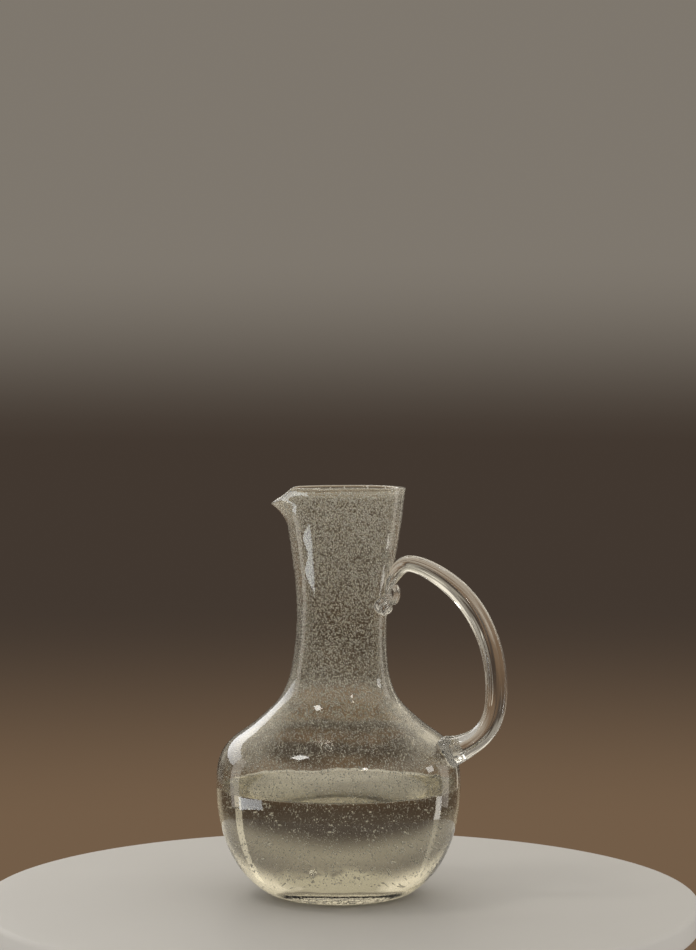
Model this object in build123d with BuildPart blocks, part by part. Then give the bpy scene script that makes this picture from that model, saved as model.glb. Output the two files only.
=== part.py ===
"""Hand-blown glass water pitcher with an applied glass handle.

Millimetres, +Z up.  The origin is the centre of the ground flat under the foot.
The handle stands on +X; the pouring lip points nearly opposite, turned by LIP_TURN from -X.
"""
from build123d import *
from math import cos, degrees, hypot, pi, radians, sin
import os

# ---------------------------------------------------------------- driving sizes
HEIGHT = 250.0            # foot to rim
FOOT_RADIUS = 36.0        # ground flat that the pitcher stands on
BELLY_RADIUS = 75.0       # widest radius of the bulb
BELLY_HEIGHT = 68.0       # height of the widest ring
NECK_START = 126.0        # the axisymmetric body ends here and the neck begins
NECK_WALL = 2.8           # glass thickness in the neck
LIP_WALL = 3.4            # glass thickness at the fire-polished rim
BASE_THICKNESS = 9.5      # solid glass under the cavity, on the axis
LIP_ROUNDING = 1.0        # fire-polished edge of the rim

LIP_TURN = radians(18)    # the lip was pulled this far round from the line opposite the handle
LIP_REACH = 9.6           # how far the pouring lip stands out beyond the mouth
LIP_START = 226.5         # height where the pouring lip begins to swell
LIP_TIP_HEIGHT = 241.0    # top of the lip at its tip
LIP_HALF_ANGLE = 0.80     # half of the lip's spread round the mouth, radians
LIP_TIP_BLUNTNESS = 0.13  # rounding of the tip, radians

HANDLE_WIDTH_RATIO = 1.10  # the cane is a little wider than it is thick
SECTION_POINTS = 36        # points round one section of the neck

# Outer outline of the bulb, (radius, height), from the foot to the neck.
BODY_OUTSIDE = [
    (FOOT_RADIUS, 0.0),
    (42.5, 1.6),
    (53.2, 8.6),
    (63.5, 21.0),
    (70.0, 35.0),
    (73.6, 50.0),
    (BELLY_RADIUS, BELLY_HEIGHT),
    (72.5, 85.5),
    (65.6, 95.5),
    (56.4, 102.2),
    (44.6, 112.0),
    (36.4, 121.0),
    (33.7, NECK_START),
]

# Cavity outline of the bulb: a wall of about 2.8, thicker in the heel.
BODY_INSIDE = [
    (0.0, BASE_THICKNESS),
    (22.0, 9.2),
    (38.0, 9.6),
    (50.0, 13.2),
    (60.4, 23.2),
    (67.0, 36.0),
    (70.8, 50.5),
    (72.2, BELLY_HEIGHT),
    (69.8, 84.6),
    (63.6, 93.5),
    (54.7, 99.8),
    (42.7, 110.0),
    (34.1, 119.4),
    (30.9, NECK_START),
]

# Neck stations: height, outer radius, and the drift of the centre towards the handle.
NECK = [
    (NECK_START, 33.7, 0.0),
    (133.0, 31.1, 0.2),
    (144.0, 29.1, 0.6),
    (156.0, 27.9, 1.1),
    (168.0, 27.6, 1.6),
    (180.0, 28.1, 2.1),
    (192.0, 29.4, 2.6),
    (204.0, 31.3, 3.0),
    (214.0, 33.0, 3.1),
    (222.0, 34.1, 3.1),
    (227.0, 34.7, 3.2),
    (231.5, 35.2, 3.2),
    (236.0, 35.8, 3.2),
    (240.5, 36.4, 3.2),
    (246.0, 37.0, 3.2),
    (253.0, 37.8, 3.2),
]

# Top edge of the rim seen across the lip: flat, then dipping to the tip of the lip.
RIM_DIP = [
    (-26.0, HEIGHT),
    (-29.5, 249.2),
    (-32.7, 246.8),
    (-35.7, 244.5),
    (-39.0, 242.6),
    (-43.0, LIP_TIP_HEIGHT),
    (-54.0, LIP_TIP_HEIGHT - 0.6),
]

# Centre line of the handle in the XZ plane, from inside the shoulder to inside the neck.
HANDLE_PATH = [
    (61.0, 90.0),
    (77.5, 93.2),
    (91.3, 102.6),
    (99.2, 129.0),
    (95.2, 157.5),
    (78.6, 185.0),
    (61.5, 197.8),
    (49.0, 203.0),
    (41.0, 203.4),
    (33.0, 200.5),
]
# Thickness of the cane at fractions of that line.
HANDLE_THICKNESS = [
    (0.00, 20.0),
    (0.05, 18.0),
    (0.10, 15.8),
    (0.18, 12.6),
    (0.30, 12.2),
    (0.42, 12.5),
    (0.54, 12.5),
    (0.65, 12.2),
    (0.75, 11.2),
    (0.84, 9.9),
    (0.92, 9.4),
    (1.00, 10.5),
]
# The cane's end, folded down and pressed on the neck:
# height, distance of the centre from the axis, radial half size, half width.
HANDLE_TAIL = [
    (207.0, 37.0, 2.6, 3.4),
    (200.0, 35.4, 5.8, 6.0),
    (193.0, 33.0, 6.4, 6.6),
    (186.0, 31.0, 7.6, 8.4),
    (179.0, 29.2, 8.6, 11.0),
    (174.5, 28.8, 7.4, 11.4),
    (171.8, 29.0, 4.4, 8.0),
]


def lip_swell(height):
    """How much of the pouring lip's reach is there at this height, from 0 to 1."""
    rise = (height - LIP_START) / (LIP_TIP_HEIGHT - LIP_START)
    return min(max(rise, 0.0), 1.0) ** 1.8


def mouth_radius(radius, height, angle):
    """Radius of the neck at one angle: a circle with the pouring lip drawn out of it."""
    away = hypot(angle - pi - LIP_TURN, LIP_TIP_BLUNTNESS)
    share = max(0.0, (LIP_HALF_ANGLE - away) / (LIP_HALF_ANGLE - LIP_TIP_BLUNTNESS))
    return radius + LIP_REACH * lip_swell(height) * share**1.7


def wall_at(height):
    """Glass thickness of the neck, growing towards the rim."""
    share = (height - NECK_START) / (HEIGHT - NECK_START)
    return NECK_WALL + (LIP_WALL - NECK_WALL) * max(0.0, share) ** 3


def neck_outline(height, radius, drift, inset):
    """Points of one level section of the neck, moved in by the inset."""
    angles = [2 * pi * i / SECTION_POINTS for i in range(SECTION_POINTS)]
    reach = [mouth_radius(radius, height, a) - inset for a in angles]
    return [(drift + r * cos(a), r * sin(a)) for r, a in zip(reach, angles)]


def neck_section(height, radius, drift, inset):
    """One level face through the neck: round below the pouring lip."""
    with BuildSketch(Plane.XY.offset(height)) as section:
        if lip_swell(height) > 0:
            with BuildLine():
                Spline(*neck_outline(height, radius, drift, inset), periodic=True)
            make_face()
        else:
            with Locations((drift, 0)):
                Circle(radius - inset)
    return section.sketch.face()


# ------------------------------------------------- outer form of the blown glass
with BuildPart() as blown_form:
    with BuildSketch(Plane.XZ) as body_section:
        with BuildLine():
            Line((0, 0), BODY_OUTSIDE[0])
            Spline(*BODY_OUTSIDE)
            Polyline(BODY_OUTSIDE[-1], (0, NECK_START), (0, 0))
        make_face()
    revolve(axis=Axis.Z)
    loft([neck_section(*station, 0.0) for station in NECK])

# ------------------------------------------------------ the hollow that holds water
with BuildPart() as hollow:
    with BuildSketch(Plane.XZ) as hollow_section:
        with BuildLine():
            Spline(*BODY_INSIDE, tangents=[(1, 0), (-0.35, 1)])
            Polyline(BODY_INSIDE[-1], (0, NECK_START), (0, BASE_THICKNESS))
        make_face()
    revolve(axis=Axis.Z)
    loft([neck_section(*station, wall_at(station[0])) for station in NECK])

# ------------------------------------------------------------------------- vessel
with BuildPart() as vessel:
    add(blown_form.part)
    add(hollow.part, mode=Mode.SUBTRACT)
    with BuildSketch(Plane.XZ.rotated((0, 0, degrees(LIP_TURN)))) as above_rim:
        with BuildLine():
            Spline(*RIM_DIP, tangents=[(-1, 0), (-1, -0.1)])
            Polyline(RIM_DIP[-1], (-60, 270), (60, 270), (60, HEIGHT), RIM_DIP[0])
        make_face()
    extrude(amount=60, both=True, mode=Mode.SUBTRACT)
    near_rim = vessel.edges().filter_by_position(Axis.Z, LIP_TIP_HEIGHT - 2, HEIGHT + 1)
    fillet(near_rim.filter_by(lambda edge: edge.length > 2 * LIP_WALL), LIP_ROUNDING)

vessel.part.label = "vessel"

# ------------------------------------------------------------------------- handle
with BuildPart() as handle:
    with BuildLine(Plane.XZ) as handle_line:
        cane_path = Spline(*HANDLE_PATH)
    for share, thickness in HANDLE_THICKNESS:
        across = Plane(origin=cane_path @ share, x_dir=(0, 1, 0), z_dir=cane_path % share)
        with BuildSketch(across) as cane_section:
            Ellipse(thickness * HANDLE_WIDTH_RATIO / 2, thickness / 2)
    loft()
    for height, distance, depth, half_width in HANDLE_TAIL:
        with BuildSketch(Plane.XY.offset(height)) as tail_section:
            with Locations((distance, 0)):
                Ellipse(depth, half_width)
    loft()
    add(blown_form.part, mode=Mode.SUBTRACT)

handle.part.label = "handle"

os.makedirs("parts", exist_ok=True)
export_step(vessel.part, "parts/vessel.step")
export_step(handle.part, "parts/handle.step")
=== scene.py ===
"""A hand-blown water pitcher: the seeded glass vessel, its applied handle, its seeds and the water in it.

Laid out as an add-on and run as a script. Metres, +Z up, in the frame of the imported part: the handle
stands on +X, the pouring lip points 18 degrees off -X and the foot rests on the plane z = 0.
"""

from math import cos, exp, pi, radians, sin, sqrt

import bmesh
import bpy
import numpy as np
from bpy.props import FloatProperty, FloatVectorProperty, IntProperty, PointerProperty
from bpy.types import Operator, Panel, PropertyGroup
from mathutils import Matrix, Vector, noise


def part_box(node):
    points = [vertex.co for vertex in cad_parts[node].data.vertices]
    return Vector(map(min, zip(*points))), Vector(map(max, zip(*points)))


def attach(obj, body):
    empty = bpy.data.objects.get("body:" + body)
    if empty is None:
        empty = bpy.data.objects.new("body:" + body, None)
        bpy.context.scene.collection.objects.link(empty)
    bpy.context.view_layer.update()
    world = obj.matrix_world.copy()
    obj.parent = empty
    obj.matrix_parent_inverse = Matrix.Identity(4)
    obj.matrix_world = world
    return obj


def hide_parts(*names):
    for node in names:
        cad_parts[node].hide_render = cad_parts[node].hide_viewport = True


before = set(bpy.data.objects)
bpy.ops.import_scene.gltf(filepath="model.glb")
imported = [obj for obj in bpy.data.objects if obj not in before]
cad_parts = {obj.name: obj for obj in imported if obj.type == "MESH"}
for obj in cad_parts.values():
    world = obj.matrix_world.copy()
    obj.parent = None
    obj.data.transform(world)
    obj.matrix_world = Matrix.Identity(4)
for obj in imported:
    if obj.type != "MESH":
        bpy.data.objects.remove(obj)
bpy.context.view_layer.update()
VESSEL_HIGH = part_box("vessel")[1]
HEIGHT = VESSEL_HIGH.z
BELLY_RADIUS = VESSEL_HIGH.y

bl_info = {
    "name": "Hand-blown Glass Pitcher",
    "version": (1, 0, 0),
    "blender": (4, 5, 0),
    "location": "3D View > Sidebar > Pitcher",
    "description": "Builds a seeded glass pitcher with an applied handle, and the water in it",
    "category": "Object",
}

# ------------------------------------------------------------------ shape of the glass
# Outer outline of the body and neck, (radius, height), from the foot ring to above the rim.
OUTSIDE = [
    (0.0360, 0.0), (0.0425, 0.0016), (0.0532, 0.0086), (0.0635, 0.0210), (0.0700, 0.0350),
    (0.0736, 0.0500), (BELLY_RADIUS, 0.0680), (0.0725, 0.0855), (0.0656, 0.0955),
    (0.0564, 0.1022), (0.0446, 0.1120), (0.0364, 0.1210), (0.0337, 0.1260), (0.0311, 0.1330),
    (0.0291, 0.1440), (0.0279, 0.1560), (0.0276, 0.1680), (0.0281, 0.1800), (0.0294, 0.1920),
    (0.0312, 0.2040), (0.0327, 0.2140), (0.0340, 0.2220), (0.0354, 0.2315), (0.0364, 0.2405),
    (0.0378, 0.2530),
]
# Cavity outline of the body; above it the wall is NECK_WALL thick, growing to LIP_WALL.
INSIDE = [
    (0.0, 0.0095), (0.0220, 0.0092), (0.0380, 0.0096), (0.0500, 0.0132), (0.0604, 0.0232),
    (0.0670, 0.0360), (0.0708, 0.0505), (0.0722, 0.0680), (0.0698, 0.0846), (0.0636, 0.0935),
    (0.0547, 0.0998), (0.0427, 0.1100), (0.0341, 0.1194), (0.0309, 0.1260),
]
NECK_FROM = INSIDE[-1][1]
NECK_WALL = 0.0028
LIP_WALL = 0.0034
# The neck's centre drifts towards the handle: (height, drift).
NECK_DRIFT = [
    (0.0, 0.0), (0.126, 0.0), (0.144, 0.0006), (0.168, 0.0016), (0.192, 0.0026),
    (0.214, 0.0031), (0.253, 0.0032),
]
LIP_TURN = radians(18)    # the lip was pulled this far round from the line opposite the handle
# Top edge of the rim seen across the lip, (place along it, height): flat, then dipping to the tip.
RIM_DIP = [
    (-0.0540, HEIGHT - 0.0096), (-0.0430, HEIGHT - 0.0090), (-0.0390, HEIGHT - 0.0074),
    (-0.0357, HEIGHT - 0.0055), (-0.0327, HEIGHT - 0.0032), (-0.0295, HEIGHT - 0.0008),
    (-0.0260, HEIGHT), (-0.0220, HEIGHT),
]
LIP_START = 0.2265
LIP_FULL = 0.2410
SQUEEZE_FROM = 0.218      # above this the levels of the wall are pressed down with the dipping rim
PUNT_RADIUS = 0.0270      # the pushed-up middle of the underside
HANDLE_INSET = 0.0004     # how deep the handle's glass sinks into the wall that it is fused to
# The wall under the handle, where no seeds lie: (middle height, half height), and its half width.
HANDLE_SEATS = [(0.1855, 0.0145), (0.0935, 0.0075)]
HANDLE_SEAT_WIDTH = 0.0125

LEVEL_STEP = 0.0015       # between the rings of the vessel's mesh, along its outline
CANE_STEP = 0.0008        # between the rings of the handle's mesh
GLASS_INDEX = 1.5
WATER_INDEX = 1.333
CAMERA_TURN = radians(18)  # the camera stands this far round from facing +Y

# Centre line of the handle in the plane y = 0, (x, z, thickness, width), from inside the shoulder
# over the arch, down the neck and round the curl of its folded end.
CANE = [
    (0.0610, 0.0890, 0.0222, 0.0230), (0.0696, 0.0902, 0.0196, 0.0206),
    (0.0778, 0.0932, 0.0158, 0.0174), (0.0913, 0.1026, 0.0126, 0.0140),
    (0.0976, 0.1150, 0.0123, 0.0135), (0.0992, 0.1290, 0.0123, 0.0135),
    (0.0952, 0.1575, 0.0125, 0.0138), (0.0786, 0.1850, 0.0122, 0.0134),
    (0.0615, 0.1978, 0.0109, 0.0124), (0.0490, 0.2030, 0.0098, 0.0118),
    (0.0412, 0.2031, 0.0092, 0.0118), (0.0362, 0.1987, 0.0081, 0.0118),
    (0.0331, 0.1936, 0.0061, 0.0116), (0.0308, 0.1875, 0.0036, 0.0114),
    (0.0312, 0.1820, 0.0034, 0.0104), (0.0340, 0.1802, 0.0034, 0.0094),
    (0.0365, 0.1832, 0.0031, 0.0082), (0.0367, 0.1876, 0.0031, 0.0074),
    (0.0349, 0.1906, 0.0034, 0.0066),
]


def spline_slopes(knots, values):
    """Slopes at the knots of the cubic through the values, free at both ends."""
    step = np.diff(knots)
    rise = np.diff(values, axis=0) / step[:, None]
    matrix = np.zeros((len(knots), len(knots)))
    target = np.zeros_like(values)
    matrix[0, :2] = 2, 1
    matrix[-1, -2:] = 1, 2
    target[0] = 3 * rise[0]
    target[-1] = 3 * rise[-1]
    for i in range(1, len(knots) - 1):
        matrix[i, i - 1:i + 2] = step[i], 2 * (step[i - 1] + step[i]), step[i - 1]
        target[i] = 3 * (step[i] * rise[i - 1] + step[i - 1] * rise[i])
    return np.linalg.solve(matrix, target)


class Outline:
    """A smooth line through a few points; knots default to the distance along their chords."""

    def __init__(self, points, along=2):
        self.points = np.array(points, float)
        chords = np.diff(self.points[:, :along], axis=0)
        lengths = np.hypot(chords[:, 0], chords[:, 1]) if along > 1 else chords[:, 0]
        self.knots = np.concatenate(([0.0], np.cumsum(lengths)))
        self.slopes = spline_slopes(self.knots, self.points)

    @property
    def length(self):
        return self.knots[-1]

    def at(self, where):
        """The points at these distances from the start, one row each."""
        where = np.atleast_1d(np.asarray(where, float)).clip(0.0, self.length)
        i = np.searchsorted(self.knots, where, side="right").clip(1, len(self.knots) - 1) - 1
        step = (self.knots[i + 1] - self.knots[i])[:, None]
        t = (where - self.knots[i])[:, None] / step
        start = (1 + 2 * t) * (1 - t) ** 2 * self.points[i] + t * (1 - t) ** 2 * step * self.slopes[i]
        end = (3 - 2 * t) * t**2 * self.points[i + 1] - (1 - t) * t**2 * step * self.slopes[i + 1]
        return start + end

    def even(self, spacing):
        """Points about this far apart, with both ends."""
        return self.at(np.linspace(0.0, self.length, int(round(self.length / spacing)) + 1))


class Wall:
    """The blown wall: where its outer and inner surfaces are at any height and angle."""

    def __init__(self, sizes):
        self.lip_reach = sizes.lip_reach
        self.spread = sizes.lip_spread
        self.blunt = sizes.lip_bluntness
        self.outside = Outline(OUTSIDE)
        self.inside = Outline(INSIDE + [
            (r - self.thickness(z), z) for r, z in OUTSIDE if z > NECK_FROM
        ])
        fine_step = 0.0001
        self._outer = self.outside.even(fine_step)
        self._inner = self.inside.even(fine_step)
        self._lowest = int(np.argmin(self._inner[:, 1]))
        self._widest = int(np.argmax(self._inner[:, 0]))
        self._drift = Outline(NECK_DRIFT, along=1).even(0.001)
        self._dip = Outline(RIM_DIP).even(0.0005)

    def thickness(self, height):
        """Level thickness of the neck's wall."""
        share = np.maximum(0.0, (height - NECK_FROM) / (HEIGHT - NECK_FROM))
        return NECK_WALL + (LIP_WALL - NECK_WALL) * share**3

    def drift(self, height):
        return np.interp(height, self._drift[:, 0], self._drift[:, 1])

    def outer(self, height):
        return np.interp(height, self._outer[:, 1], self._outer[:, 0])

    def inner(self, height):
        wall = self._inner[self._lowest:]
        return np.interp(height, wall[:, 1], wall[:, 0])

    def floor(self, radius):
        """Height of the cavity's floor at this radius."""
        floor = self._inner[:self._widest]
        return np.interp(radius, floor[:, 0], floor[:, 1])

    def lip(self, height, angle):
        """How far the pouring lip draws the wall out at this height and angle."""
        rise = np.clip((height - LIP_START) / (LIP_FULL - LIP_START), 0.0, 1.0)
        away = np.hypot(np.mod(angle - LIP_TURN, 2 * pi) - pi, self.blunt)
        share = np.clip((self.spread - away) / (self.spread - self.blunt), 0.0, 1.0)
        return self.lip_reach * rise**1.8 * share**1.7

    def rim(self, angle):
        """Height of the rim at this angle: where the outer surface meets the dipping edge."""
        height = np.full_like(angle, HEIGHT)
        for _ in range(40):
            reach = self.outer(height) + self.lip(height, angle)
            along = self.drift(height) * cos(LIP_TURN) + reach * np.cos(angle - LIP_TURN)
            height = 0.5 * height + 0.5 * np.interp(along, self._dip[:, 0], self._dip[:, 1])
        return np.minimum(height, HEIGHT)


def new_mesh(name, vertices, faces, materials=(), material_of_face=None):
    """A smooth-shaded mesh object in the scene's collection."""
    mesh = bpy.data.meshes.new(name)
    mesh.from_pydata([tuple(v) for v in vertices], [], faces)
    mesh.polygons.foreach_set("use_smooth", [True] * len(mesh.polygons))
    for material in materials:
        mesh.materials.append(material)
    if material_of_face is not None:
        mesh.polygons.foreach_set("material_index", material_of_face)
    mesh.update()
    piece = bpy.data.objects.new(name, mesh)
    bpy.context.scene.collection.objects.link(piece)
    return piece


def ring_faces(rings, around):
    """Quads between rings of the same number of points, outward for rings that climb."""
    faces = []
    for k in range(rings - 1):
        for j in range(around):
            a = k * around + j
            b = k * around + (j + 1) % around
            faces.append((a, b, b + around, a + around))
    return faces


def closed_rings(rings, start, end):
    """Vertices and faces of a closed skin through the rings, with a point at each end.

    For each point of a ring its two end faces follow the quads: first at the start, then at the end.
    """
    around = len(rings[0])
    vertices = [v for ring in rings for v in ring] + [start, end]
    first, last = len(vertices) - 2, len(vertices) - 1
    top = first - around
    faces = ring_faces(len(rings), around)
    for j in range(around):
        after = (j + 1) % around
        faces.append((first, after, j))
        faces.append((last, top + j, top + after))
    return vertices, faces


def turns(around):
    """Even angles of one full turn."""
    return np.arange(around) * 2 * pi / around


def round_rings(profile, around):
    """Level circles round the z axis, one for each (radius, height)."""
    angles = turns(around)
    return [np.column_stack((r * np.cos(angles), r * np.sin(angles), np.full(around, z)))
            for r, z in profile]


def ripple(points, scale, seed):
    """Smooth random heights from -1 to 1 at the points, about one wave for each scale."""
    shift = Vector((17.3 * seed, -9.1 * seed, 5.7 * seed))
    return np.array([noise.noise(Vector(p) / scale + shift) for p in points])


def make_wavy(piece, amount, still):
    """Moves the surface in and out along its normals by the unevenness of hand-blown glass.

    The movement fades out below the height called still, and the foot stays flat.
    """
    broad_wave, fine_wave = 0.024, 0.009
    apart = 0.004    # so that the two skins of the wall don't move together
    mesh = piece.data
    spots = np.zeros(len(mesh.vertices) * 3)
    normals = np.zeros(len(mesh.vertices) * 3)
    mesh.vertices.foreach_get("co", spots)
    mesh.vertex_normals.foreach_get("vector", normals)
    spots, normals = spots.reshape(-1, 3), normals.reshape(-1, 3)
    drawn = spots * (1.0, 1.0, 0.55) + normals * apart
    height = amount * (ripple(drawn, broad_wave, 1) + 0.25 * ripple(drawn, fine_wave, 2))
    height *= np.clip(spots[:, 2] / still, 0.0, 1.0) ** 2
    mesh.vertices.foreach_set("co", (spots + normals * height[:, None]).ravel())
    mesh.update()


# ------------------------------------------------------------------------ materials
class Wire:
    """One output socket, on which Python's operators add Math nodes."""

    def __init__(self, maker, source):
        self.maker = maker
        self.source = source

    def _math(self, operation, *terms):
        sockets = dict(enumerate(terms))
        node = self.maker.add("ShaderNodeMath", {"operation": operation}, sockets)
        return Wire(self.maker, node.outputs[0])

    def __add__(self, other):
        return self._math("ADD", self, other)

    def __sub__(self, other):
        return self._math("SUBTRACT", self, other)

    def __rsub__(self, other):
        return self._math("SUBTRACT", other, self)

    def __mul__(self, other):
        return self._math("MULTIPLY", self, other)

    def __or__(self, other):
        return self._math("MAXIMUM", self, other)

    __radd__, __rmul__, __ror__ = __add__, __mul__, __or__


class NodeMaker:
    """Adds nodes to one material's or the world's tree."""

    def __init__(self, owner):
        owner.use_nodes = True
        self.tree = owner.node_tree
        self.tree.nodes.clear()

    def add(self, kind, settings=None, sockets=None):
        """One node of this type: its settings first, then the values or links of its sockets."""
        node = self.tree.nodes.new(kind)
        for name, value in (settings or {}).items():
            if name == "stops":
                self._set_stops(node.color_ramp, value)
            else:
                setattr(node, name, value)
        for name, value in (sockets or {}).items():
            if isinstance(value, Wire):
                self.tree.links.new(value.source, node.inputs[name])
            else:
                node.inputs[name].default_value = value
        return node

    def wire(self, kind, output=0, settings=None, sockets=None):
        """The named output of a new node."""
        return Wire(self, self.add(kind, settings, sockets).outputs[output])

    def mix(self, share, first, second):
        """A colour between two, by this share of the second."""
        return self.wire("ShaderNodeMix", 2, {"data_type": "RGBA", "clamp_factor": True},
                         {0: share, 6: first, 7: second})

    @staticmethod
    def _set_stops(ramp, stops):
        ramp.interpolation = "EASE"
        while len(ramp.elements) > len(stops):
            ramp.elements.remove(ramp.elements[-1])
        while len(ramp.elements) < len(stops):
            ramp.elements.new(1.0)
        for element, (position, colour) in zip(ramp.elements, stops):
            element.position = position
            element.color = solid(colour)


def solid(colour):
    """The colour with full opacity."""
    return (*colour, 1.0)


def glass(name, tint, cord_tint, ior, wave):
    """Polished clear glass: faint cords of another tint, and a fire-polished, slightly uneven skin."""
    material = bpy.data.materials.new(name)
    maker = NodeMaker(material)
    place = maker.wire("ShaderNodeTexCoord", "Object")
    drawn = maker.wire("ShaderNodeMapping", 0, {"vector_type": "POINT"},
                       {"Vector": place, "Scale": (1.0, 1.0, 0.3)})
    cords = maker.wire("ShaderNodeTexNoise", 0, {}, {"Vector": drawn, "Scale": 60.0, "Detail": 2.0})
    colour = maker.mix(cords, solid(tint), solid(cord_tint))
    skin = maker.wire("ShaderNodeTexNoise", 0, {}, {"Vector": drawn, "Scale": 160.0, "Detail": 1.0})
    bump = maker.wire("ShaderNodeBump", 0, {},
                      {"Strength": wave, "Distance": 0.0004, "Height": skin})
    shader = maker.wire("ShaderNodeBsdfPrincipled", 0, {}, {
        "Base Color": colour, "Roughness": 0.0, "IOR": ior, "Transmission Weight": 1.0, "Normal": bump,
    })
    maker.add("ShaderNodeOutputMaterial", {}, {"Surface": shader})
    return material


def boundary(name, ior, roughness):
    """A colourless boundary between two clear stuffs; at an index of 1 nothing bends or mirrors there."""
    material = bpy.data.materials.new(name)
    maker = NodeMaker(material)
    shader = maker.wire("ShaderNodeBsdfPrincipled", 0, {}, {
        "Base Color": solid((1.0, 1.0, 1.0)), "Roughness": roughness, "IOR": ior,
        "Transmission Weight": 1.0,
    })
    maker.add("ShaderNodeOutputMaterial", {}, {"Surface": shader})
    return material


# ---------------------------------------------------------------------- properties
def length(name, description, default):
    return FloatProperty(name=name, description=description, default=default,
                         unit="LENGTH", precision=4)


def tint(name, description, default):
    return FloatVectorProperty(name=name, description=description, default=default,
                               subtype="COLOR", min=0.0, max=1.0)


class PitcherVesselSizes(PropertyGroup):
    lip_reach: length("Lip reach", "How far the pouring lip stands out beyond the mouth", 0.0096)
    lip_spread: FloatProperty(
        name="Lip spread", description="Half of the lip's spread round the mouth",
        default=0.80, subtype="ANGLE")
    lip_bluntness: FloatProperty(
        name="Lip bluntness", description="Rounding of the lip's tip", default=0.13, subtype="ANGLE")
    bead: length("Rim bead", "Height of the fire-polished edge of the rim", 0.0013)
    bead_swell: length("Bead swell", "How much the glass thickens just below the rim", 0.0003)
    punt: length("Punt depth", "How far the underside is pushed up inside the foot ring", 0.0024)
    pontil: length("Pontil marks", "Height of the marks left in the punt by the pontil iron", 0.0004)
    waviness: length("Waviness", "Unevenness of the hand-blown surface", 0.00022)
    around: IntProperty(name="Points around", description="Points in each ring", default=180)


class PitcherHandleSizes(PropertyGroup):
    foot_width: length("Pressed foot", "Half width of the foot pressed on the neck", 0.0146)
    draw_lines: length("Draw lines", "Height of the ridges drawn along the cane", 0.00028)
    around: IntProperty(name="Points around", description="Points in each section", default=56)


class PitcherSeedSizes(PropertyGroup):
    smallest: length("Smallest seed", "Radius of the smallest seed bubbles", 0.00015)
    largest: length("Largest seed", "Radius of the largest seed bubbles", 0.00058)
    share: FloatProperty(
        name="Amount", description="Share of the full number of seeds", default=1.0, min=0.0, max=1.0)
    random_seed: IntProperty(
        name="Random seed", description="Starting number of the random draw", default=11)


class PitcherWaterSizes(PropertyGroup):
    level: length("Water level", "Height of the water's flat surface", 0.0665)
    climb: length("Meniscus", "How far the water climbs the wall", 0.0013)
    climb_width: length("Meniscus width", "How far from the wall the climb fades", 0.0015)


class PitcherColours(PropertyGroup):
    seeded: tint("Seeded glass", "Tint of the vessel's glass", (0.930, 0.915, 0.850))
    seeded_cords: tint("Seeded glass cords", "Tint of its faint cords", (0.885, 0.864, 0.785))
    clear: tint("Clear glass", "Tint of the handle's glass", (0.985, 0.988, 0.980))
    clear_cords: tint("Clear glass cords", "Tint of its faint cords", (0.970, 0.975, 0.962))
    floor: tint("Floor", "Colour of the pale floor", (0.42, 0.395, 0.355))
    backdrop_low: tint("Backdrop, low", "Colour of the backdrop below eye level", (0.171, 0.110, 0.065))
    backdrop_mid: tint("Backdrop, middle", "Colour at eye level", (0.055, 0.040, 0.030))
    backdrop_high: tint("Backdrop, high", "Colour of the backdrop above", (0.21, 0.186, 0.155))
    walls: tint("Upper walls", "Colour of the lit walls above the backdrop", (1.0, 0.915, 0.76))
    ground: tint("Ground", "Colour of the ground around and below the floor", (0.38, 0.32, 0.25))
    far_light: tint("Far light", "Colour of the lit opening far behind", (0.52, 0.475, 0.37))


class PitcherStageSizes(PropertyGroup):
    floor_radius: length("Floor radius", "Radius of the round floor", 0.22)
    floor_thickness: length("Floor thickness", "Thickness of the round floor", 0.016)
    camera_distance: length("Camera distance", "From the pitcher's axis to the camera", 1.513)
    camera_height: length("Camera height", "Height of the camera over the floor", 0.303)
    aim_height: length("Aim height", "Height of the point that the camera looks at", 0.2573)
    aim_side: length("Aim side", "How far right of the axis the camera looks", 0.0053)
    azimuth: FloatProperty(
        name="Azimuth", description="Direction of the camera round the pitcher",
        default=CAMERA_TURN, subtype="ANGLE")
    lens: FloatProperty(
        name="Lens", description="Focal length", default=93.8, subtype="DISTANCE_CAMERA")


class PitcherSettings(PropertyGroup):
    vessel: PointerProperty(type=PitcherVesselSizes)
    handle: PointerProperty(type=PitcherHandleSizes)
    seeds: PointerProperty(type=PitcherSeedSizes)
    water: PointerProperty(type=PitcherWaterSizes)
    colours: PointerProperty(type=PitcherColours)
    stage: PointerProperty(type=PitcherStageSizes)


def boolean(piece, other, operation):
    """Cuts or joins another closed mesh into the piece, for good."""
    modifier = piece.modifiers.new("fuse", "BOOLEAN")
    modifier.operation = operation
    modifier.object = other
    modifier.solver = "EXACT"
    modifier.material_mode = "TRANSFER"
    bpy.context.view_layer.update()
    graph = bpy.context.evaluated_depsgraph_get()
    mesh = bpy.data.meshes.new_from_object(piece.evaluated_get(graph))
    piece.modifiers.clear()
    piece.data = mesh


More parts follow.
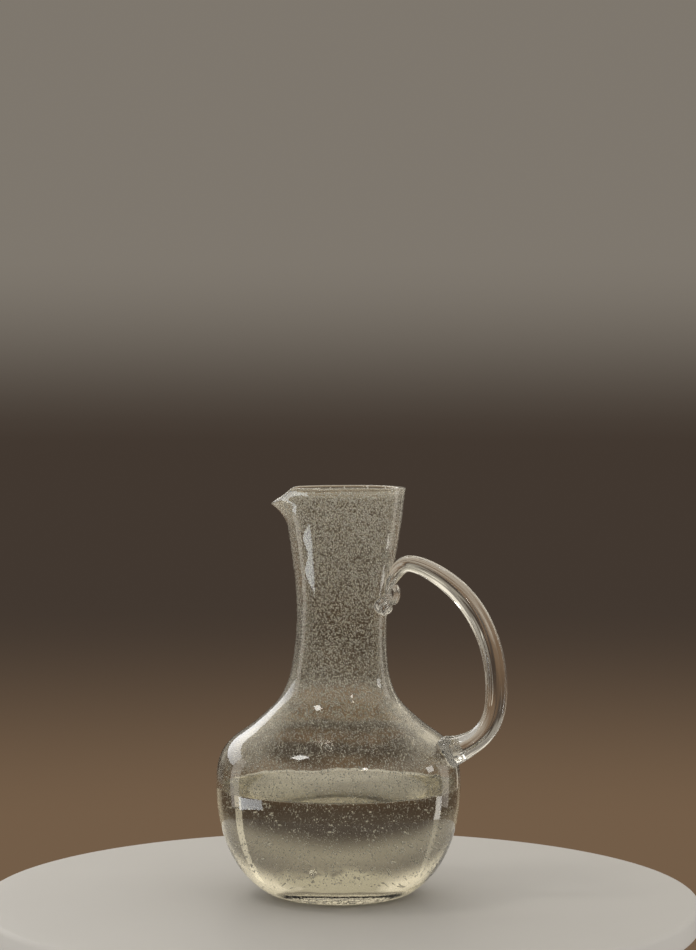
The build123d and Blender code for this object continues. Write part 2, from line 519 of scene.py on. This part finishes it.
# -------------------------------------------------------------------------- handle
def cane_sections(sizes):
    """Rings of points round the cane, from the pad on the shoulder to the end of the curl."""
    line = Outline(CANE)
    nearby, dent_size, least_close = 0.0002, 0.0065, 0.04
    rings = []
    for where in np.linspace(0.0, line.length, int(line.length / CANE_STEP)):
        x, z, thick, wide = line.at(where)[0]
        ahead = line.at(where + nearby)[0] - line.at(where - nearby)[0]
        along = Vector((ahead[0], 0.0, ahead[1])).normalized()
        out = Vector((-along.z, 0.0, along.x))
        to_end = min(where, line.length - where) / (0.5 * thick)
        close = max(least_close, sqrt(max(0.0, 1 - (1 - min(1.0, to_end)) ** 2)))
        centre = Vector((x, 0.0, z))
        sway = 0.0006 * sin(where / 0.021) * min(1.0, where / 0.03)
        tool_marks = 0.07 * max(0.0, 1 - where / 0.030)
        ring = []
        for turn in turns(sizes.around):
            spot = Vector((where, 0.011 * cos(turn), 0.011 * sin(turn)))
            dent = tool_marks * noise.noise(spot / dent_size)
            ridge = 1 + dent + 2 * sizes.draw_lines / thick * (
                sin(5 * turn + where / 0.030) + 0.6 * sin(8 * turn - where / 0.040 + 1.0)
                + 0.45 * sin(13 * turn + where / 0.025 + 2.0))
            up = 0.5 * thick * close * ridge * cos(turn)
            side = 0.5 * wide * close * ridge * sin(turn)
            ring.append(centre + out * up + Vector((0.0, side + sway, 0.0)))
        rings.append(ring)
    return rings


def closed_tube(name, rings, materials):
    """A closed tube through the rings, with a point in the middle of each end."""
    start, end = [sum(ring, Vector()) / len(ring) for ring in (rings[0], rings[-1])]
    return new_mesh(name, *closed_rings(rings, start, end), materials)


def pressed_foot(wall, sizes, clear):
    """The flattened foot of the folded end, pressed on the neck."""
    middle, half_high, thick, sunk, back = 0.1790, 0.0068, 0.0036, 0.0002, 0.0007
    broad_mark, fine_mark = 0.0040, 0.0019
    rings = []
    for up in np.linspace(-pi / 2, pi / 2, 25):
        z = middle + half_high * sin(up)
        spread = max(0.03, cos(up))
        half_angle = sizes.foot_width / wall.outer(z) * spread
        ring = []
        for turn in turns(48):
            angle = half_angle * cos(turn)
            lift = thick * spread * max(0.0, sin(turn)) ** 0.8 - back * max(0.0, -sin(turn))
            spot = Vector((0.0, wall.outer(z) * angle, z))
            marks = noise.noise(spot / broad_mark) + 0.6 * noise.noise(spot / fine_mark)
            reach = wall.outer(z) + lift * (1 + 0.36 * marks) - sunk
            ring.append(Vector((wall.drift(z) + reach * cos(angle), reach * sin(angle), z)))
        rings.append(ring)
    return closed_tube("pressed_foot", rings, [clear])


def body_form(wall, skin):
    """The body and neck as one solid, a little inside the outer surface: the handle ends on it."""
    lowest = 0.05
    rings = []
    for radius, height in wall.outside.even(LEVEL_STEP):
        if lowest < height < LIP_START:
            reach = radius - HANDLE_INSET
            rings.append([Vector((wall.drift(height) + reach * cos(a), reach * sin(a), height))
                          for a in turns(180)])
    return closed_tube("body_form", rings, [skin])


class PITCHER_OT_handle(Operator):
    """Draws the clear cane from the shoulder over to the neck, with its folded, pressed end"""
    bl_idname = "pitcher.handle"
    bl_label = "Applied handle"

    def execute(self, context):
        settings = context.scene.pitcher
        colours = settings.colours
        clear = glass("clear_glass", colours.clear, colours.clear_cords, GLASS_INDEX, wave=0.1)
        wall = Wall(settings.vessel)
        handle = closed_tube("applied_handle", cane_sections(settings.handle), [clear])
        foot = pressed_foot(wall, settings.handle, clear)
        boolean(handle, foot, "UNION")
        form = body_form(wall, boundary("fused_joint", ior=1.0, roughness=0.0))
        boolean(handle, form, "DIFFERENCE")
        bpy.data.objects.remove(foot)
        bpy.data.objects.remove(form)
        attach(handle, "root")
        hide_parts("handle")
        return {"FINISHED"}


# -------------------------------------------------------------------------- vessel
def punt_height(sizes, radius):
    """Height of the pushed-up underside at this distance from the axis."""
    return sizes.punt * np.maximum(0.0, 1 - (radius / PUNT_RADIUS) ** 2) ** 1.5


def underside(sizes):
    """Rings (radius, height) of the underside, from the middle out to just inside the foot's edge."""
    foot_radius, ring_count = OUTSIDE[0][0], 35
    radii = foot_radius * np.arange(1, ring_count + 1) / (ring_count + 1)
    return zip(radii, punt_height(sizes, radii))


def mark_punt(piece, sizes):
    """Roughens the middle of the underside, where the pontil iron was broken off."""
    near, fade, broad_mark, fine_mark = 0.0004, 0.25, 0.0050, 0.0026
    for vertex in piece.data.vertices:
        place = vertex.co
        reach = sqrt(place.x**2 + place.y**2)
        if reach < PUNT_RADIUS and place.z < punt_height(sizes, reach) + near:
            share = min(1.0, (1 - reach / PUNT_RADIUS) / fade)
            marks = noise.noise(place / broad_mark) + 0.5 * noise.noise(place / fine_mark)
            vertex.co.z += sizes.pontil * share * max(-1.0, marks)
    piece.data.update()


def vessel_rings(wall, sizes, contact):
    """Rings round the whole glass, from the underside over the rim to the cavity's floor.

    Also says how many of them there are before the inside is wet: below the water's contact line.
    """
    angles = turns(sizes.around)
    top = wall.rim(angles) - sizes.bead
    level_top = HEIGHT - sizes.bead
    swell_height, smallest_ring = 0.0022, 0.0004
    rings = []

    def put(radius, height):
        height = np.broadcast_to(height, angles.shape)
        rings.append(np.column_stack((wall.drift(height) + radius * np.cos(angles),
                                      radius * np.sin(angles), height)))

    def pressed(height):
        """This level, pressed down with the dip of the rim."""
        if height <= SQUEEZE_FROM:
            return np.full_like(angles, height)
        share = (height - SQUEEZE_FROM) / (level_top - SQUEEZE_FROM)
        return SQUEEZE_FROM + share * (top - SQUEEZE_FROM)

    def outer(height):
        return wall.outer(height) + wall.lip(height, angles)

    def swell(height):
        return sizes.bead_swell * np.exp(-((top - height) / swell_height) ** 2)

    for radius, height in underside(sizes):
        put(radius, height)
    for _, level in wall.outside.even(LEVEL_STEP):
        if level <= level_top:
            height = pressed(level)
            put(outer(height) + swell(height), height)
    outer_end = outer(top) + sizes.bead_swell
    inner_end = outer(top) - sizes.bead_swell - wall.thickness(top)
    middle, half = (outer_end + inner_end) / 2, (outer_end - inner_end) / 2
    for turn in np.linspace(0.0, pi, 11):
        put(middle + half * cos(turn), top + sizes.bead * sin(turn))
    inside = [(radius, level) for radius, level in wall.inside.even(LEVEL_STEP)[::-1]
              if level <= level_top and radius > smallest_ring]
    for radius, level in inside:
        if level > SQUEEZE_FROM:
            height = pressed(level)
            put(outer(height) - wall.thickness(height) - swell(height), height)
        elif level >= contact:
            put(radius, level)
    put(wall.inner(contact), contact)
    dry = len(rings)
    for radius, level in inside:
        if level < contact:
            put(radius, level)
    return np.array(rings), dry


class PITCHER_OT_vessel(Operator):
    """Blows the vessel: thick foot, belly, neck, fire-polished rim and the pulled pouring lip"""
    bl_idname = "pitcher.vessel"
    bl_label = "Blown vessel"

    def execute(self, context):
        settings = context.scene.pitcher
        sizes, colours = settings.vessel, settings.colours
        wall = Wall(sizes)
        contact = settings.water.level + settings.water.climb
        rings, dry = vessel_rings(wall, sizes, contact)
        vertices, faces = closed_rings(rings, (0.0, 0.0, sizes.punt), (0.0, 0.0, wall.floor(0.0)))
        wet = [int(max(face) >= dry * sizes.around and min(face) >= sizes.around) for face in faces]
        tints = colours.seeded, colours.seeded_cords
        dry_glass = glass("seeded_glass", *tints, GLASS_INDEX, wave=0.12)
        wet_glass = glass("wetted_glass", *tints, GLASS_INDEX / WATER_INDEX, wave=0.12)
        fused = bpy.data.materials["fused_joint"]
        vessel = new_mesh("blown_vessel", vertices, faces, [dry_glass, wet_glass, fused], wet)
        make_wavy(vessel, sizes.waviness, still=0.006)
        mark_punt(vessel, sizes)
        handle = bpy.data.objects["applied_handle"]
        shared = handle.data.materials[0]
        handle.data.materials[0] = fused
        boolean(vessel, handle, "DIFFERENCE")
        handle.data.materials[0] = shared
        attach(vessel, "root")
        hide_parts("vessel")
        return {"FINISHED"}


# --------------------------------------------------------------------------- seeds
# Zones of the wall: name, lowest and highest height, seeds for each square centimetre, and size.
SEED_ZONES = [
    ("seeds_rim", 0.238, 0.2495, 200.0, 1.0),
    ("seeds_lip", 0.228, 0.238, 180.0, 1.0),
    ("seeds_mouth", 0.218, 0.228, 165.0, 1.0),
    ("seeds_neck_head", 0.207, 0.218, 155.0, 1.0),
    ("seeds_neck_top", 0.193, 0.207, 140.0, 1.0),
    ("seeds_neck", 0.175, 0.193, 120.0, 1.0),
    ("seeds_waist", 0.157, 0.175, 110.0, 1.0),
    ("seeds_neck_foot", 0.140, 0.157, 105.0, 1.0),
    ("seeds_collar", 0.124, 0.140, 105.0, 1.0),
    ("seeds_shoulder_top", 0.112, 0.124, 100.0, 0.95),
    ("seeds_shoulder", 0.102, 0.112, 92.0, 0.92),
    ("seeds_shoulder_foot", 0.0955, 0.102, 90.0, 0.9),
    ("seeds_shoulder_edge", 0.084, 0.0955, 80.0, 0.85),
    ("seeds_belly_top", 0.062, 0.084, 58.0, 0.8),
    ("seeds_belly", 0.040, 0.062, 44.0, 0.72),
    ("seeds_heel", 0.018, 0.040, 48.0, 0.72),
]
FLOOR_SEEDS = 1600
# Balls for seeds up to each radius: the coarse ball of the finest seeds has 20 triangles.
BALLS = [(0.00023, "coarse"), (0.00036, "medium"), (0.0010, "round")]


def ball(kind):
    """Points and triangles of a small ball of radius 1."""
    mesh = bmesh.new()
    if kind == "medium":
        bmesh.ops.create_uvsphere(mesh, u_segments=6, v_segments=4, radius=1.0)
    else:
        bmesh.ops.create_icosphere(mesh, subdivisions=2 if kind == "round" else 1, radius=1.0)
    bmesh.ops.triangulate(mesh, faces=mesh.faces)
    points = np.array([v.co for v in mesh.verts])
    # Sorted, because the quads aren't split in the same order in every run.
    triangles = np.array(sorted([v.index for v in face.verts] for face in mesh.faces))
    mesh.free()
    return points, triangles


def seed_piece(name, places, radii, stretches, material):
    """One mesh of many small balls, each drawn out a little up the wall."""
    vertices, triangles, first, above = [], [], 0, 0.0
    for limit, kind in BALLS:
        points, faces = ball(kind)
        chosen = (radii >= above) & (radii < limit)
        above = limit
        scale = radii[chosen, None] * np.ones(3)
        scale[:, 2] *= stretches[chosen]
        spots = points[None] * scale[:, None] + places[chosen][:, None]
        starts = first + len(points) * np.arange(len(spots))
        vertices.append(spots.reshape(-1, 3))
        triangles.append((faces[None] + starts[:, None, None]).reshape(-1, 3))
        first += len(points) * len(spots)
    vertices, triangles = np.concatenate(vertices), np.concatenate(triangles)
    mesh = bpy.data.meshes.new(name)
    mesh.vertices.add(len(vertices))
    mesh.vertices.foreach_set("co", vertices.ravel())
    mesh.loops.add(triangles.size)
    mesh.loops.foreach_set("vertex_index", triangles.ravel())
    mesh.polygons.add(len(triangles))
    mesh.polygons.foreach_set("loop_start", np.arange(0, triangles.size, 3))
    mesh.polygons.foreach_set("use_smooth", np.ones(len(triangles), bool))
    mesh.materials.append(material)
    mesh.update(calc_edges=True)
    piece = bpy.data.objects.new(name, mesh)
    bpy.context.scene.collection.objects.link(piece)
    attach(piece, "root")


def seed_radii(draw, sizes, number):
    """Mostly small seeds and a few large ones."""
    return sizes.smallest + (sizes.largest - sizes.smallest) * draw.random(number) ** 2.6


class PITCHER_OT_seeds(Operator):
    """Scatters the fine seed bubbles through the glass of the vessel"""
    bl_idname = "pitcher.seeds"
    bl_label = "Seed bubbles"

    def execute(self, context):
        settings = context.scene.pitcher
        sizes = settings.seeds
        wall = Wall(settings.vessel)
        draw = np.random.default_rng(sizes.random_seed)
        trapped_air = boundary("trapped_air", ior=1 / GLASS_INDEX, roughness=0.5)
        step = 0.0005
        side = wall.outside.even(step)
        for name, low, high, per_square_centimetre, size in SEED_ZONES:
            band = side[(side[:, 1] >= low) & (side[:, 1] < high)]
            area = 2 * pi * band[:, 0].sum() * step
            number = int(area * 1e4 * per_square_centimetre * sizes.share)
            heights = draw.choice(band[:, 1], number, p=band[:, 0] / band[:, 0].sum())
            heights = heights + draw.uniform(-step / 2, step / 2, number)
            places = self.in_the_wall(wall, heights, draw)
            number = len(places)
            seed_piece(name, places, size * seed_radii(draw, sizes, number),
                       1 + 0.5 * draw.random(number), trapped_air)
        places = self.in_the_foot(wall, int(FLOOR_SEEDS * sizes.share), draw)
        seed_piece("seeds_foot", places, seed_radii(draw, sizes, len(places)),
                   np.ones(len(places)), trapped_air)
        return {"FINISHED"}

    def in_the_wall(self, wall, heights, draw):
        """Places between the two skins of the wall, at these heights and at random angles."""
        below_rim, least_wall = 0.0012, 0.0022
        angles = draw.uniform(0, 2 * pi, len(heights))
        share = (heights - SQUEEZE_FROM) / (HEIGHT - SQUEEZE_FROM)
        squeezed = SQUEEZE_FROM + share * (wall.rim(angles) - below_rim - SQUEEZE_FROM)
        heights = np.where(heights > SQUEEZE_FROM, squeezed, heights)
        outer = wall.outer(heights) + wall.lip(heights, angles)
        inner = np.where(heights < NECK_FROM, np.minimum(wall.inner(heights), outer - least_wall),
                         outer - wall.thickness(heights))
        reach = outer - (outer - inner) * draw.uniform(0.30, 0.70, len(heights))
        places = np.column_stack((wall.drift(heights) + reach * np.cos(angles),
                                  reach * np.sin(angles), heights))
        seated = np.any([np.abs(heights - middle) < half for middle, half in HANDLE_SEATS], axis=0)
        under_handle = seated & (places[:, 0] > 0) & (np.abs(places[:, 1]) < HANDLE_SEAT_WIDTH)
        return places[~under_handle]

    def in_the_foot(self, wall, number, draw):
        """Places in the thick glass under the cavity, clear of the underside and of the heel."""
        widest, clear_below, clear_above, heel_slope = 0.046, 0.0020, 0.0012, 0.45
        reach = widest * np.sqrt(draw.random(number))
        angles = draw.uniform(0, 2 * pi, number)
        under = punt_height(bpy.context.scene.pitcher.vessel, reach)
        low = under + clear_below + heel_slope * np.maximum(0.0, reach - OUTSIDE[0][0])
        high = wall.floor(reach) - clear_above
        heights = low + (high - low) * draw.random(number)
        return np.column_stack((reach * np.cos(angles), reach * np.sin(angles), heights))[high > low]


# --------------------------------------------------------------------------- water
class PITCHER_OT_water(Operator):
    """Fills the belly: a flat surface that climbs the wall in a thin meniscus"""
    bl_idname = "pitcher.water"
    bl_label = "Water"

    def execute(self, context):
        settings = context.scene.pitcher
        sizes = settings.water
        wall = Wall(settings.vessel)
        around = settings.vessel.around
        into_glass, heel_from, heel_to = 0.0004, 0.03, 0.05
        smallest_ring, climb_reach = 0.001, 0.012
        contact = sizes.level + sizes.climb
        # The water reaches a little into the glass: outwards at the wall, down at the floor.
        profile = [(r + into_glass * (r > heel_from), z - into_glass * (r < heel_to))
                   for r, z in wall.inside.even(2 * LEVEL_STEP)
                   if r > smallest_ring and z < contact - smallest_ring]
        edge = float(wall.inner(contact)) + into_glass
        profile.append((edge, contact))
        side_rings = len(profile)
        for share in np.linspace(0.0, 1.0, 22)[1:]:
            away = climb_reach * share**1.8
            profile.append((edge - away, sizes.level + sizes.climb * exp(-away / sizes.climb_width)))
        for share in np.linspace(1.0, 0.0, 17)[1:-1]:
            profile.append(((edge - climb_reach) * share, sizes.level))
        rings = round_rings(profile, around)
        vertices, faces = closed_rings(rings, (0.0, 0.0, profile[0][1]), (0.0, 0.0, sizes.level))
        kinds = [int(min(face) >= (side_rings - 1) * around) for face in faces]
        touching = boundary("water_on_glass", ior=1.0, roughness=0.0)
        open_water = glass("water_surface", (1, 1, 1), (0.99, 1, 1), WATER_INDEX, wave=0.0)
        water = new_mesh("water", vertices, faces, [touching, open_water], kinds)
        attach(water, "root")
        return {"FINISHED"}


# --------------------------------------------------------------------------- stage
# Soft rectangular lamps: name, azimuth from the camera (left is negative), elevation, distance from
# the pitcher's middle, width, height, radiance, colour, and whether it also shows through glass.
LAMPS = [
    ("window", -90, -14.3, 1.7, 0.90, 0.14, 4.6, (0.92, 0.97, 1.0), False),
    ("skylight", -66, 60, 1.8, 0.32, 0.32, 12.0, (1.0, 0.98, 0.94), False),
    ("back_left", -142, 17, 1.9, 1.50, 0.50, 2.1, (0.96, 0.97, 1.0), False),
    ("left_panel", -112, 4, 1.9, 0.50, 1.30, 1.3, (1.0, 0.94, 0.86), False),
    ("right_panel", 118, 4, 1.9, 0.50, 1.30, 1.0, (1.0, 0.93, 0.84), False),
    ("side", 107, -16, 1.9, 0.30, 0.30, 3.4, (1.0, 0.97, 0.93), False),
    ("strip_right", 150, 4, 1.9, 0.16, 1.00, 0.42, (1.0, 0.94, 0.80), True),
    ("strip_left", -150, 4, 1.9, 0.10, 0.80, 0.16, (1.0, 0.95, 0.82), True),
    ("side_high", 98, 14, 1.9, 0.35, 0.30, 5.0, (1.0, 0.98, 0.95), False),
    ("front_high", 29, 40, 1.9, 0.16, 0.16, 11.0, (1.0, 0.98, 0.95), True),
    ("back_top", -170, 34, 1.9, 0.50, 0.25, 2.5, (1.0, 0.98, 0.95), False),
]


def lamp(name, azimuth, elevation, distance, width, height, radiance, colour, through_glass):
    """One lamp aimed at the middle of the pitcher; the camera doesn't see it."""
    turn = radians(azimuth) + CAMERA_TURN
    level = distance * cos(radians(elevation))
    middle = Vector((0.0, 0.0, HEIGHT / 2))
    way = Vector((level * sin(turn), -level * cos(turn), distance * sin(radians(elevation))))
    data = bpy.data.lights.new(name, "AREA")
    data.shape = "RECTANGLE"
    data.size, data.size_y = width, height
    data.energy = radiance * pi * width * height
    data.color = colour
    light = bpy.data.objects.new(name, data)
    light.location = middle + way
    light.rotation_mode = "QUATERNION"
    light.rotation_quaternion = (-way).to_track_quat("-Z", "Y")
    light.visible_camera = False
    light.visible_transmission = through_glass
    bpy.context.scene.collection.objects.link(light)


class PITCHER_OT_stage(Operator):
    """Sets the pale floor, the plain backdrop, the soft lamps and the camera"""
    bl_idname = "pitcher.stage"
    bl_label = "Stage"

    def execute(self, context):
        settings = context.scene.pitcher
        self.floor(settings)
        self.backdrop(context.scene, settings.colours)
        for row in LAMPS:
            lamp(*row)
        self.camera(context.scene, settings.stage)
        context.scene.view_settings.view_transform = "Standard"
        cycles = context.scene.cycles
        cycles.max_bounces = cycles.transmission_bounces = 32
        cycles.glossy_bounces = 12
        return {"FINISHED"}

    def floor(self, settings):
        sizes, round_off, around = settings.stage, 0.004, 240
        radius, bottom = sizes.floor_radius, -sizes.floor_thickness
        across = radius * np.arange(1, 12) / 12
        profile = [(r, bottom) for r in across]
        for turn in np.linspace(-pi / 2, pi / 2, 17):
            middle = -round_off if turn > 0 else bottom + round_off
            profile.append((radius - round_off * (1 - cos(turn)), middle + round_off * sin(turn)))
        profile += [(r, 0.0) for r in across[::-1]]
        rings = round_rings(profile, around)
        material = bpy.data.materials.new("pale_floor")
        maker = NodeMaker(material)
        place = maker.wire("ShaderNodeTexCoord", "Object")
        grain = maker.wire("ShaderNodeTexNoise", 0, {}, {"Vector": place, "Scale": 14.0, "Detail": 4.0})
        darker, lighter = [solid([share * c for c in settings.colours.floor]) for share in (0.97, 1.03)]
        shader = maker.wire("ShaderNodeBsdfPrincipled", 0, {}, {
            "Base Color": maker.mix(grain, darker, lighter), "Roughness": 0.55})
        maker.add("ShaderNodeOutputMaterial", {}, {"Surface": shader})
        faces = closed_rings(rings, (0.0, 0.0, bottom), (0.0, 0.0, 0.0))
        floor = new_mesh("floor", *faces, [material])

    def backdrop(self, scene, colours):
        world = bpy.data.worlds.new("studio")
        scene.world = world
        maker = NodeMaker(world)
        path = maker.add("ShaderNodeLightPath")
        seen = (Wire(maker, path.outputs["Is Camera Ray"]) | Wire(maker, path.outputs["Is Glossy Ray"])
                | Wire(maker, path.outputs["Is Transmission Ray"]))
        way = maker.wire("ShaderNodeTexCoord", "Generated")
        up = maker.wire("ShaderNodeSeparateXYZ", "Z", {}, {"Vector": way})
        wall_colour = maker.wire("ShaderNodeValToRGB", "Color", {"stops": [
            (0.310, colours.ground), (0.400, colours.backdrop_low),
            (0.415, colours.backdrop_low), (0.460, colours.backdrop_mid),
            (0.490, colours.backdrop_mid), (0.530, colours.backdrop_high),
            (0.590, colours.backdrop_high), (0.680, colours.walls),
            (0.810, colours.walls), (0.920, colours.backdrop_high)]}, {"Fac": up * 0.5 + 0.5})
        # Seen through glass only: an uneven lit opening with a low glow under it, and on both sides
        # the soft glow of a panel, whose lamp itself doesn't show through glass.
        through = Wire(maker, path.outputs["Is Transmission Ray"])
        opening, bright = self.glow(maker, way, (-0.29, 0.92, 0.28), CAMERA_TURN, (0.34, 0.60, 0.165))
        uneven = maker.wire("ShaderNodeTexNoise", 0, {}, {
            "Vector": opening, "Scale": 1.6, "Detail": 3.0, "Distortion": 1.2})
        low = self.glow(maker, way, (-0.29, 0.92, 0.065), CAMERA_TURN, (0.90, 0.90, 0.095))[1]
        far = (bright * 3.2 * (uneven * 4.0 - 1.35) + low * 0.38) * through
        sides = self.side_glow(maker, way, -112) + self.side_glow(maker, way, 118)
        colour = maker.mix(far, wall_colour, solid(colours.far_light))
        colour = maker.mix(sides * through, colour, solid(colours.walls))
        plain = maker.wire("ShaderNodeBackground", 0, {}, {"Color": (1, 1, 1, 1), "Strength": 0.95})
        shown = maker.wire("ShaderNodeBackground", 0, {}, {"Color": colour, "Strength": 1.0})
        mixed = maker.wire("ShaderNodeMixShader", 0, {}, {"Fac": seen, 1: plain, 2: shown})
        maker.add("ShaderNodeOutputWorld", {}, {"Surface": mixed})

    def glow(self, maker, way, middle, turn, size):
        """A soft-edged light far off: places in it, and brightness from 1 in the middle to 0 outside."""
        placed = maker.wire("ShaderNodeMapping", 0, {"vector_type": "TEXTURE"}, {
            "Vector": way, "Location": middle, "Rotation": (0.0, 0.0, turn), "Scale": size})
        return placed, maker.wire("ShaderNodeTexGradient", "Fac", {"gradient_type": "SPHERICAL"},
                                  {"Vector": placed})

    def side_glow(self, maker, way, azimuth):
        """Brightness of the tall light on one side, at this azimuth from the camera."""
        turn = radians(azimuth) + CAMERA_TURN
        return self.glow(maker, way, (sin(turn), -cos(turn), 0.07), turn - pi / 2, (0.60, 0.24, 0.60))[1]

    def camera(self, scene, sizes):
        data = bpy.data.cameras.new("camera")
        data.lens = sizes.lens
        camera = bpy.data.objects.new("camera", data)
        scene.collection.objects.link(camera)
        right = Vector((cos(sizes.azimuth), sin(sizes.azimuth), 0.0))
        back = Vector((sin(sizes.azimuth), -cos(sizes.azimuth), 0.0))
        place = back * sizes.camera_distance + Vector((0, 0, sizes.camera_height))
        aim = right * sizes.aim_side + Vector((0, 0, sizes.aim_height))
        camera.location = place
        camera.rotation_mode = "QUATERNION"
        camera.rotation_quaternion = (aim - place).to_track_quat("-Z", "Y")
        scene.camera = camera


class PITCHER_PT_sidebar(Panel):
    """Sizes, colours and the steps that build the pitcher"""
    bl_label = "Glass pitcher"
    bl_idname = "PITCHER_PT_sidebar"
    bl_space_type = "VIEW_3D"
    bl_region_type = "UI"
    bl_category = "Pitcher"

    def draw(self, context):
        settings = context.scene.pitcher
        groups = (settings.vessel, settings.handle, settings.seeds, settings.water,
                  settings.colours, settings.stage)
        for group in groups:
            box = self.layout.box()
            for name in group.__annotations__:
                box.prop(group, name)
        for step in STEPS:
            self.layout.operator(step.bl_idname)


STEPS = [PITCHER_OT_handle, PITCHER_OT_vessel, PITCHER_OT_seeds, PITCHER_OT_water, PITCHER_OT_stage]
CLASSES = [
    PitcherVesselSizes, PitcherHandleSizes, PitcherSeedSizes, PitcherWaterSizes, PitcherColours,
    PitcherStageSizes, PitcherSettings, *STEPS, PITCHER_PT_sidebar,
]


def register():
    for group in CLASSES:
        bpy.utils.register_class(group)
    bpy.types.Scene.pitcher = PointerProperty(type=PitcherSettings)


def unregister():
    del bpy.types.Scene.pitcher
    for group in reversed(CLASSES):
        bpy.utils.unregister_class(group)


def main():
    """Builds every piece and the stage."""
    register()
    for step in STEPS:
        group, name = step.bl_idname.split(".")
        getattr(getattr(bpy.ops, group), name)()


if __name__ == "__main__":
    main()
